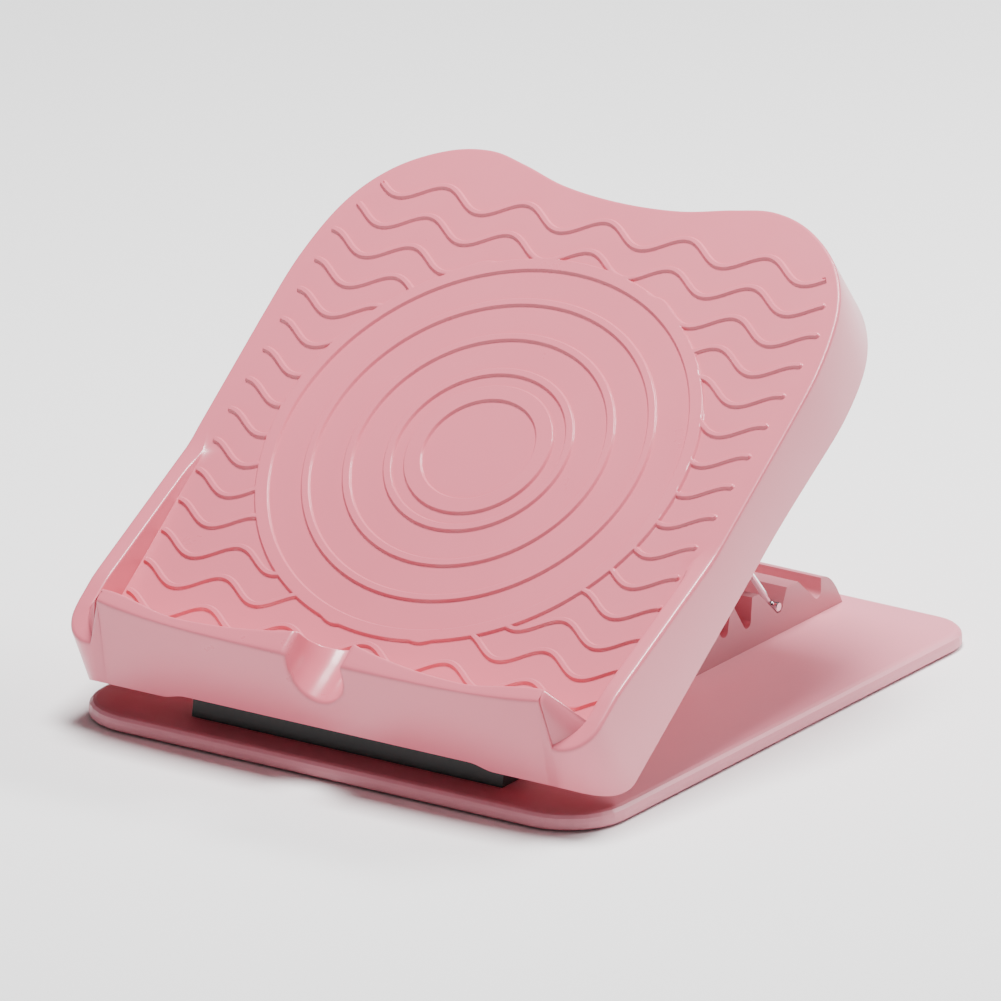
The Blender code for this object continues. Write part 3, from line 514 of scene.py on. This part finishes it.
def add_tread(builder, border):
    """Fills the tread inside its border, vertices with plate coordinates, with the rings and wave ribs."""
    inner, outer = RINGS[-1]
    meeting = outer - MEETING_INSET
    points, edges = [], []

    def add_line(line, closed):
        first = len(points)
        points.extend((float(a), float(b)) for a, b in line)
        count = len(line)
        edges.extend((first + k, first + (k + 1) % count) for k in range(count if closed else count - 1))

    add_line([place for vert, place in border], True)
    add_line(circle(meeting), True)
    for step in RELIEF_STEPS:
        add_line(circle(outer - step), True)
    for row in range(WAVE_ROWS):
        for contour in wave_contours(row):
            for run in outside_ring(contour, meeting + MEETING_GUARD):
                add_line(run, False)
    found, _, triangles, origins = delaunay_2d_cdt([Vector(p) for p in points], edges, [], 0, 1e-5, True)[:4]
    flat = np.array([tuple(p) for p in found])
    corners = np.array([tuple(t) for t in triangles])
    centres = flat[corners].mean(1)
    keep = inside_polygon(centres, np.array([place for vert, place in border]))
    keep &= np.hypot(centres[:, 0], centres[:, 1]) > meeting - MEETING_SLACK
    heights = tread_height(flat[:, 0], flat[:, 1])
    verts = [None] * len(flat)
    ring_verts = [None] * RING_SIDES
    for i, sources in enumerate(origins):
        own = [k for k in sources if k < len(border)]
        if own:
            verts[i] = border[own[0]][0]
    used = np.unique(corners[keep])
    for i in used:
        if verts[i] is None:
            verts[i] = builder.verts.new(plate_to_world(flat[i][0], flat[i][1], float(heights[i])))
        for k in origins[i]:
            if len(border) <= k < len(border) + RING_SIDES:
                ring_verts[k - len(border)] = verts[i]
    for a, b, c in corners[keep]:
        builder.faces.new((verts[a], verts[b], verts[c]))
    add_rings(builder, ring_verts, meeting)


def add_rings(builder, outermost, meeting):
    """Round strips from the outermost ring's top to the centre of the tread."""
    profile = []
    for number, (inner, outer) in enumerate(reversed(RINGS)):
        if number:
            profile += [(outer - step, float(relief(step))) for step in RELIEF_STEPS]
        profile += [(inner + step, float(relief(step))) for step in reversed(RELIEF_STEPS)]
    previous = outermost
    for radius, height in profile:
        row = [builder.verts.new(plate_to_world(a, b, height)) for a, b in circle(radius)]
        for k in range(RING_SIDES):
            m = (k + 1) % RING_SIDES
            builder.faces.new((previous[k], previous[m], row[m], row[k]))
        previous = row
    builder.faces.new(previous)


def make_plate(material):
    corner, lip = corner_stations(), lip_stations()
    right = toe_and_side_stations() + corner + ramp_stations(corner[-1], lip[0]) + lip
    loop = right + [mirrored(place) for place in reversed(right[1:-1])]
    builder = bmesh.new()
    rows = []
    for i, place in enumerate(loop):
        along = loop[(i + 1) % len(loop)]["bottom"] - loop[i - 1]["bottom"]
        inward = Vector((along.y, -along.x, 0)).normalized()
        rows.append([builder.verts.new(plate_to_world(*p)) for p in section_points(place, inward)])
    for i, row in enumerate(rows):
        after = rows[(i + 1) % len(rows)]
        for j in range(len(row) - 1):
            builder.faces.new((row[j], after[j], after[j + 1], row[j + 1]))
    builder.faces.new([row[0] for row in reversed(rows)])
    border = [(row[-1], (place["foot"].x, place["foot"].y)) for row, place in zip(rows, loop)]
    add_tread(builder, border)
    return finish_object("plate_shell", builder, material, 38)


# ---- underside and racks ----

# s and h of the hinge pin's axis
HINGE_S, HINGE_H = -134.5, -21.6
EAR_RADIUS, EAR_INNER, EAR_OUTER, PIN_HOLE_RADIUS = 7.0, 82.6, 92.6, 2.8
EAR_ROOT_EXTRA, EAR_STEPS = 4, 20
CLIP_X, CLIP_S, BOSS_HALF_WIDTH, BOSS_HALF_LENGTH, BOSS_BOTTOM = 48.0, 35.6, 9.0, 20.0, -7.0
RIB_BOTTOM, RIB_THICKNESS, CROSS_RIB_LIFT = -9.3, 2.4, 1.5
RIBS_ALONG, LONG_RIB_START, LONG_RIB_END = (20.0, 100.0), -116, 128
RIBS_ACROSS, CROSS_RIB_REACH, RIB_BEVEL = (-85.0, -25.0, 85.0), 132, 0.4
CEILING = -PANEL_THICKNESS + 0.6

RACK_INNER, RACK_OUTER, RACK_BOTTOM = 30.0, 72.5, 8.02
RACK_BACK, RACK_FRONT, RACK_WALL_TOP, RACK_WALL_THICKNESS = 152.3, 27.0, 24.5, 0.8
NOTCH_ROUND, NOTCH_TURN, NOTCH_ROUND_STEPS = 3.0, -135, 12
RACK_BEVEL, RACK_BACK_STEPS = 0.55, 14
# each notch: its bottom (y, z), then the land in front of it (rear y, front y, z)
RACK_NOTCHES = (((131.8, 15.7), (116.0, 107.0, 28.2)), ((100.8, 17.9), (84.4, 79.0, 31.6)),
                ((75.1, 18.1), (64.6, 61.5, 31.0)), ((56.7, 19.2), (46.5, 36.0, 30.0)))


def arc(centre_a, centre_b, radius, start_degrees, end_degrees, steps):
    angles = np.radians(np.linspace(start_degrees, end_degrees, steps + 1))
    return [(centre_a + radius * math.cos(a), centre_b + radius * math.sin(a)) for a in angles]


def add_prism(builder, profile, start, end, place):
    """A closed prism: the profile's pairs at two stations, each point given by place(station, a, b)."""
    ends = [[builder.verts.new(place(x, a, b)) for a, b in profile] for x in (start, end)]
    builder.faces.new(ends[0])
    builder.faces.new(reversed(ends[1]))
    for i in range(len(profile)):
        j = (i + 1) % len(profile)
        builder.faces.new((ends[0][i], ends[1][i], ends[1][j], ends[0][j]))


def soften_edges(builder, width, segments, degrees=30):
    limit = math.radians(degrees)
    sharp = [e for e in builder.edges if len(e.link_faces) == 2 and e.calc_face_angle(0) > limit]
    bmesh.ops.bevel(builder, geom=sharp, offset=width, segments=segments, profile=0.5, affect="EDGES",
                    clamp_overlap=True)


def add_ear(builder, start, end):
    """One hinge ear: a ring of quads between its outline and the pin's hole, closed over the hole."""
    tip = arc(HINGE_S, HINGE_H, EAR_RADIUS, 180, 360, EAR_STEPS)
    outline = tip + [(HINGE_S + EAR_RADIUS + EAR_ROOT_EXTRA, CEILING), (HINGE_S - EAR_RADIUS, CEILING)]
    hole = []
    for a, b in outline:
        reach = math.hypot(a - HINGE_S, b - HINGE_H)
        hole.append((HINGE_S + PIN_HOLE_RADIUS * (a - HINGE_S) / reach,
                     HINGE_H + PIN_HOLE_RADIUS * (b - HINGE_H) / reach))
    rows = [[builder.verts.new(plate_to_world(x, a, b)) for a, b in line]
            for x, line in ((start, hole), (start, outline), (end, outline), (end, hole))]
    for row, after in zip(rows, rows[1:] + rows[:1]):
        for i in range(len(row)):
            j = (i + 1) % len(row)
            builder.faces.new((row[i], row[j], after[j], after[i]))


def make_underside(material):
    """The hinge ears, clip bosses and stiffening ribs below the tread."""
    builder = bmesh.new()
    for side in (-1, 1):
        add_ear(builder, *sorted((side * EAR_INNER, side * EAR_OUTER)))
        boss = [(CLIP_S - BOSS_HALF_LENGTH, BOSS_BOTTOM), (CLIP_S + BOSS_HALF_LENGTH, BOSS_BOTTOM),
                (CLIP_S + BOSS_HALF_LENGTH, CEILING), (CLIP_S - BOSS_HALF_LENGTH, CEILING)]
        add_prism(builder, boss, side * CLIP_X - BOSS_HALF_WIDTH, side * CLIP_X + BOSS_HALF_WIDTH,
                  plate_to_world)
        for u in RIBS_ALONG:
            rib = [(LONG_RIB_START, RIB_BOTTOM), (LONG_RIB_END, RIB_BOTTOM),
                   (LONG_RIB_END, CEILING), (LONG_RIB_START, CEILING)]
            add_prism(builder, rib, side * u - RIB_THICKNESS / 2, side * u + RIB_THICKNESS / 2,
                      plate_to_world)
    for s in RIBS_ACROSS:
        near, far, bottom = s - RIB_THICKNESS / 2, s + RIB_THICKNESS / 2, RIB_BOTTOM + CROSS_RIB_LIFT
        add_prism(builder, [(near, bottom), (far, bottom), (far, CEILING), (near, CEILING)],
                  -CROSS_RIB_REACH, CROSS_RIB_REACH, plate_to_world)
    soften_edges(builder, RIB_BEVEL, 2, 50)
    return finish_object("plate_underside", builder, material)


def rack_profile():
    """The rack's (y, z) outline from its back foot forwards over the notches and back along the base."""
    wall_front = RACK_NOTCHES[0][0][0] + NOTCH_ROUND
    wall_back = wall_front + RACK_WALL_THICKNESS
    outline = []
    for k in range(RACK_BACK_STEPS + 1):
        share = 1 - k / RACK_BACK_STEPS
        outline.append((wall_back + (RACK_BACK - wall_back) * share,
                        RACK_WALL_TOP - (RACK_WALL_TOP - RACK_BOTTOM) * share ** 2))
    outline.append((wall_front, RACK_WALL_TOP))
    for (bottom_y, bottom_z), (land_rear, land_front, land_z) in RACK_NOTCHES:
        outline += arc(bottom_y, bottom_z + NOTCH_ROUND, NOTCH_ROUND, 0, NOTCH_TURN, NOTCH_ROUND_STEPS)
        outline += [(land_rear, land_z), (land_front, land_z)]
    outline.append((RACK_FRONT, RACK_BOTTOM))
    return outline


def make_rack(side, name, material):
    builder = bmesh.new()
    start, end = sorted((side * RACK_INNER, side * RACK_OUTER))
    add_prism(builder, rack_profile(), start, end, lambda x, y, z: Vector((x, y, z)))
    soften_edges(builder, RACK_BEVEL, 3)
    rack = finish_object(f"rack_body_{name}", builder, material)
    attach(rack, "base")
    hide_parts(f"tooth_rack_{name}")


# ---- stage ----

CAMERA_AZIMUTH, CAMERA_ELEVATION, CAMERA_ROLL = math.radians(33.6), math.radians(19.47), math.radians(0.2)
CAMERA_DISTANCE, CAMERA_LENS, SENSOR = 14.715, 1203.0, 36.0
LOOK_RIGHT, LOOK_DOWN = 0.00959, 0.02203


def add_camera():
    """A long lens from the front right, aimed a little below and to the right of the rings' centre."""
    toward = Vector((math.sin(CAMERA_AZIMUTH) * math.cos(CAMERA_ELEVATION),
                     -math.cos(CAMERA_AZIMUTH) * math.cos(CAMERA_ELEVATION), math.sin(CAMERA_ELEVATION)))
    turn = (-toward).to_track_quat("-Z", "Y").to_matrix()
    right, up = turn @ Vector((1, 0, 0)), turn @ Vector((0, 1, 0))
    target = RING_CENTRE * MM + right * LOOK_RIGHT - up * LOOK_DOWN
    data = bpy.data.cameras.new("camera")
    data.lens = CAMERA_LENS
    data.sensor_width = SENSOR
    data.clip_start, data.clip_end = 0.5, 100
    camera = bpy.data.objects.new("camera", data)
    bpy.context.scene.collection.objects.link(camera)
    roll = Matrix.Rotation(CAMERA_ROLL, 3, "Z")
    camera.matrix_world = Matrix.Translation(target + toward * CAMERA_DISTANCE) @ (turn @ roll).to_4x4()
    bpy.context.scene.camera = camera


def add_area_light(name, place, target, size, power, colour=(1, 1, 1)):
    data = bpy.data.lights.new(name, "AREA")
    data.shape = "RECTANGLE"
    data.size, data.size_y = size
    data.energy = power
    data.color = colour
    lamp = bpy.data.objects.new(name, data)
    bpy.context.scene.collection.objects.link(lamp)
    lamp.location = place
    lamp.rotation_euler = (Vector(target) - Vector(place)).to_track_quat("-Z", "Y").to_euler()
    return lamp


def add_stage():
    """A pale seamless floor and soft studio light, with the key above and behind."""
    builder = bmesh.new()
    bmesh.ops.create_grid(builder, x_segments=1, y_segments=1, size=6000)
    made, tree, shader = new_material("studio_floor")
    shader.inputs["Base Color"].default_value = (0.95, 0.95, 0.95, 1)
    shader.inputs["Roughness"].default_value = 0.9
    shader.inputs["Specular IOR Level"].default_value = 0.1
    floor = finish_object("studio_floor", builder, made)
    world = bpy.data.worlds.new("studio")
    world.use_nodes = True
    world.node_tree.nodes["Background"].inputs["Color"].default_value = (1, 1, 1, 1)
    world.node_tree.nodes["Background"].inputs["Strength"].default_value = 0.14
    bpy.context.scene.world = world
    add_area_light("key", (0.0, 0.1, 1.9), (0, 0, 0.1), (0.7, 0.7), 84)
    add_area_light("rear", (0.6, 1.3, 1.2), (0, 0, 0.1), (1.0, 0.3), 30)
    add_area_light("side", (1.6, -0.1, 0.5), (0, 0, 0.1), (0.15, 1.2), 0.8)


def dress_frame():
    """Gives each CAD node that stays visible its finish."""
    base = moulded_plastic("base_plastic", (0.74, 0.27, 0.33), 0.42, 2600.0, 0.00003)
    rack = moulded_plastic("rack_plastic", (0.58, 0.22, 0.26), 0.32, 2200.0, 0.00002)
    chrome = drawn_metal("chrome", (0.86, 0.86, 0.88), 0.08, 120.0, 0.00001)
    steel = drawn_metal("zinc_steel", (0.6, 0.6, 0.63), 0.3, 200.0, 0.00003)
    rubber = moulded_rubber("rubber")
    # Painted shade: the hinge block's near-black colour stands for the shade under the front skirt.
    painted_shade_black = moulded_plastic("hinge_plastic", (0.03, 0.03, 0.03), 0.5, 2200.0, 0.00003)
    for name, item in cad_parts.items():
        finish = steel
        if name == "base_board":
            finish = base
        # the hinge block takes the near-black painted shade
        elif name == "hinge_block":
            finish = painted_shade_black
        elif name.startswith(("tooth_rack", "stand_clip")):
            finish = rack
        elif name in ("stand_wire", "stand_crossbar"):
            finish = chrome
        elif name.startswith("rubber_foot"):
            finish = rubber
        item.data.materials.clear()
        item.data.materials.append(finish)
    make_rack(-1, "left", rack)
    make_rack(1, "right", rack)


add_camera()
add_stage()
dress_frame()
plate_finish = moulded_plastic("plate_plastic", (0.74, 0.17, 0.23), 0.3, 2400.0, 0.000012, 0.5, 0.3)
plate = make_plate(plate_finish)
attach(plate, "plate")
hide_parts("foot_plate", "plate_skirt", "heel_lip")
underside = make_underside(plate_finish)
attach(underside, "plate")
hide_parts("foot_plate")
